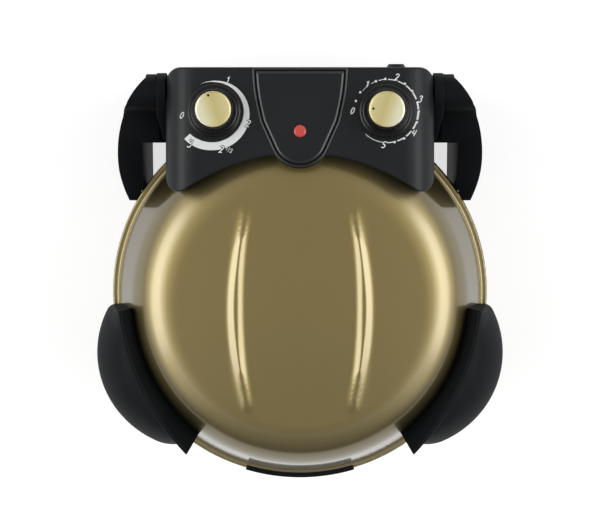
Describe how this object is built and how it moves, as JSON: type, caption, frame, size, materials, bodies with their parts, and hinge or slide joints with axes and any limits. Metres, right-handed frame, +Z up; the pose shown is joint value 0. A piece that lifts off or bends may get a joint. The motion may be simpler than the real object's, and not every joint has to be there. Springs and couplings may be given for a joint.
{
  "type": "electric_pizza_maker",
  "caption": "Countertop pizza maker: shallow gold base with a baking stone, domed gold lid hinged on black rear supports, control box with dials at the back, wing handles in front.",
  "frame": {"origin": "middle of the footprint, on the table", "axes": "+Z up, +Y towards the hinge at the rear, +X to the right of somebody who looks at the front"},
  "size_m": [0.372, 0.3832, 0.1692],
  "materials": {
    "gold_lacquer": "satin gold lacquer with a clear coat",
    "black_plastic": "satin black",
    "knob_black": "gloss",
    "cap_gold": "pale gold, turned",
    "bright_sheet": "bright pressed sheet",
    "element_steel": "dull grey oxide",
    "zinc_steel": "zinc plated",
    "baking_stone": "unglazed cordierite",
    "pad_rubber": "matte",
    "ceramic": "glazed",
    "lamp_red": "translucent red",
    "inner_plastic": "moulded",
    "bell_brass": "plain"
  },
  "bodies": {
    "base": {"base_pan": "gold_lacquer", "lower_reflector": "bright_sheet", "lower_element": "element_steel", "lower_element_clips": "zinc_steel", "stone_ring": "zinc_steel", "pizza_stone": "baking_stone", "front_trim_bar": "black_plastic", "front_foot_left": "black_plastic", "front_foot_right": "black_plastic", "foot_pads": "pad_rubber", "rear_support_left": "black_plastic", "rear_support_right": "black_plastic", "hinge_pin_left": "zinc_steel", "hinge_pin_right": "zinc_steel", "terminal_cover": "black_plastic", "lower_terminals": "ceramic", "base_screws": "zinc_steel"},
    "lid": {"lid_shell": "gold_lacquer", "lid_reflector": "bright_sheet", "upper_element": "element_steel", "upper_element_clips": "zinc_steel", "upper_terminals": "ceramic", "handle_left": "black_plastic", "handle_right": "black_plastic", "handle_screws": "zinc_steel", "hinge_knuckle_left": "black_plastic", "hinge_knuckle_right": "black_plastic", "hinge_plate_left": "zinc_steel", "hinge_plate_right": "zinc_steel", "control_housing": "black_plastic", "housing_floor": "black_plastic", "housing_screws": "zinc_steel", "center_fascia": "black_plastic", "lamp_lens": "lamp_red", "lamp_holder": "inner_plastic", "cord_gland": "black_plastic", "thermostat_body": "inner_plastic", "timer_body": "inner_plastic", "timer_bell": "bell_brass"},
    "thermostat_dial": {"thermostat_shaft": "zinc_steel", "thermostat_knob": "knob_black", "thermostat_cap": "cap_gold"},
    "timer_dial": {"timer_shaft": "zinc_steel", "timer_knob": "knob_black", "timer_cap": "cap_gold"}
  },
  "joints": [
    {"name": "lid_hinge", "type": "hinge", "parent": "base", "child": "lid", "pos_m": [0, 0.16635, 0.115], "axis": [-1, 0, 0], "range_deg": [0, 100]},
    {"name": "thermostat_turn", "type": "hinge", "parent": "lid", "child": "thermostat_dial", "pos_m": [-0.073, 0.15085, 0.149], "axis": [0, 0.1392, 0.9903], "range_deg": [-243, 70]},
    {"name": "timer_turn", "type": "hinge", "parent": "lid", "child": "timer_dial", "pos_m": [0.073, 0.15085, 0.149], "axis": [0, 0.1392, 0.9903], "range_deg": [-275, 0]}
  ]
}
